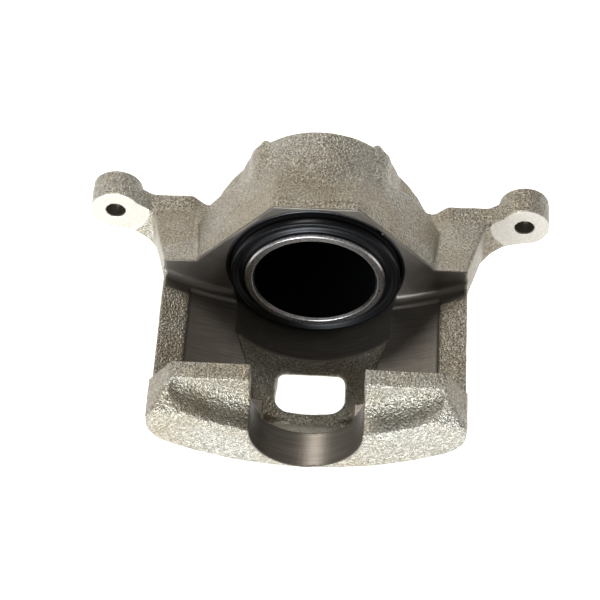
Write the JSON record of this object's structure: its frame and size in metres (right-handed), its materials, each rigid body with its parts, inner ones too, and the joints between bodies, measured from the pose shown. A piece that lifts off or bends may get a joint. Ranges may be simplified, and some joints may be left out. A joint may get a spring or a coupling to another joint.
{
  "type": "brake caliper",
  "caption": "Single-piston floating brake caliper housing with open bridge, notched fingers, two drilled lugs, sliding cup piston, dust boot, bore seal and bleeder.",
  "frame": {"origin": "centre of the piston's rim face, on the piston's axis, with the piston pushed back", "axes": "+X along the lugs, +Y inboard along the piston's axis to the closed end of the cylinder, +Z towards the wheel hub, away from the bridge"},
  "size_m": [0.1924, 0.1513, 0.0836],
  "materials": {
    "cast_body": "as-cast grain with a thin grey-tan zinc phosphate, machined on the working faces",
    "piston_steel": "ground and plated",
    "seal_rubber": "smooth moulded",
    "boot_rubber": "satin moulded",
    "ring_steel": "blackened spring steel",
    "bleeder_steel": "zinc plated",
    "cap_rubber": "satin moulded"
  },
  "bodies": {
    "housing": {"caliper_housing": "cast_body", "piston_seal": "seal_rubber", "dust_boot": "boot_rubber", "boot_retaining_ring": "ring_steel"},
    "piston_body": {"piston": "piston_steel"},
    "bleeder": {"bleeder_screw": "bleeder_steel"},
    "cap": {"bleeder_cap": "cap_rubber"}
  },
  "joints": [
    {"name": "piston_slide", "type": "slide", "parent": "housing", "child": "piston_body", "axis": [0, -1, 0], "range_m": [0, 0.025], "deforming": ["dust_boot"]},
    {"name": "bleeder_turn", "type": "hinge", "parent": "housing", "child": "bleeder", "pos_m": [0.019, 0.058, -0.016], "axis": [0, 1, 0], "range_deg": [-360, 0]},
    {"name": "cap_pull", "type": "slide", "parent": "bleeder", "child": "cap", "axis": [0, 1, 0], "range_m": [0, 0.014]}
  ]
}
